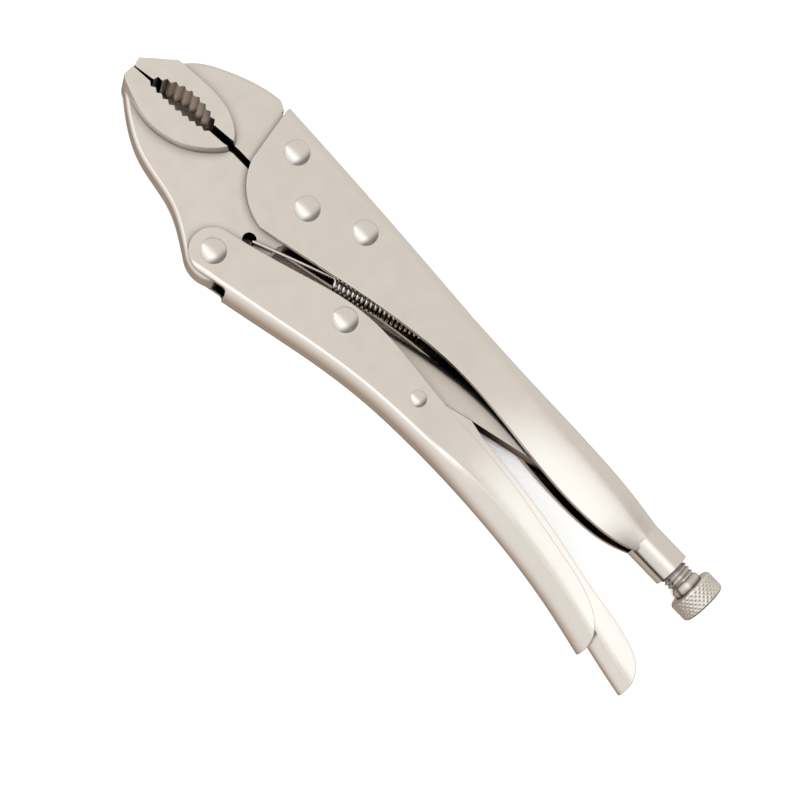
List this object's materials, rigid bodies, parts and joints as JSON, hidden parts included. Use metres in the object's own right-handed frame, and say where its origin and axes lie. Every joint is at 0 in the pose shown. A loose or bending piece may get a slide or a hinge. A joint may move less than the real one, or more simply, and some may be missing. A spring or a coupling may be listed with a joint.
{
  "type": "locking pliers",
  "caption": "Locking pliers with curved toothed jaws, channel handles, a toggle link, a nested release lever, an opening spring and a knurled adjusting screw.",
  "frame": {"origin": "axis of the jaw pivot, on the plane that the flat backs of the rivets lie on", "axes": "+X along the tool from the jaw tips to the adjusting knob, +Y from the lower handle to the fixed handle, +Z along the rivets, up from the side that the tool lies on"},
  "size_m": [0.25, 0.06, 0.0171],
  "materials": {
    "plated_sheet": "satin nickel plate",
    "plated_forging": "satin nickel plate over a forged surface",
    "plated_screw": "satin nickel plate, knurled knob",
    "plated_rivet": "smooth nickel plate",
    "spring_wire": "bright drawn wire"
  },
  "bodies": {
    "frame": {"fixed_handle": "plated_sheet", "fixed_jaw": "plated_forging", "fixed_jaw_front_rivet": "plated_rivet", "fixed_jaw_rear_rivet": "plated_rivet", "jaw_pivot_rivet": "plated_rivet", "opening_spring": "spring_wire"},
    "jaw": {"movable_jaw": "plated_forging"},
    "handle": {"lower_handle": "plated_sheet", "handle_pivot_rivet": "plated_rivet", "link_rivet": "plated_rivet", "lever_pin": "plated_rivet"},
    "link": {"toggle_link": "plated_forging"},
    "lever": {"release_lever": "plated_sheet"},
    "screw_slide": {"screw_nose": "plated_screw"},
    "screw": {"adjusting_screw": "plated_screw", "adjusting_knob": "plated_screw"}
  },
  "joints": [
    {"name": "jaw_open", "type": "hinge", "parent": "frame", "child": "jaw", "pos_m": [0, 0, 0.00845], "axis": [0, 0, 1], "range_deg": [0, 14], "deforming": ["opening_spring"]},
    {"name": "handle_swing", "type": "hinge", "parent": "jaw", "child": "handle", "pos_m": [-0.0102, -0.0316, 0.00845], "axis": [0, 0, 1], "range_deg": [-42.7, 0]},
    {"name": "link_swing", "type": "hinge", "parent": "handle", "child": "link", "pos_m": [0.0338, -0.0164, 0.00845], "axis": [0, 0, 1], "range_deg": [0, 45]},
    {"name": "lever_lift", "type": "hinge", "parent": "handle", "child": "lever", "pos_m": [0.0677, -0.0171, 0.00845], "axis": [0, 0, 1], "range_deg": [0, 7.1]},
    {"name": "screw_travel", "type": "slide", "parent": "frame", "child": "screw_slide", "axis": [1, 0, 0], "range_m": [0, 0.012]},
    {"name": "screw_turn", "type": "hinge", "parent": "screw_slide", "child": "screw", "pos_m": [0.1371, 0.0057, 0.00845], "axis": [1, 0, 0], "range_deg": [0, 2950]}
  ],
  "couplings": [
    {"joint": "handle_swing", "follows": "jaw_open", "ratio": -3.0448},
    {"joint": "link_swing", "follows": "jaw_open", "ratio": 3.2111},
    {"joint": "lever_lift", "follows": "jaw_open", "ratio": 0.5},
    {"joint": "screw_turn", "follows": "screw_travel", "rad_per_m": 4188.8}
  ]
}
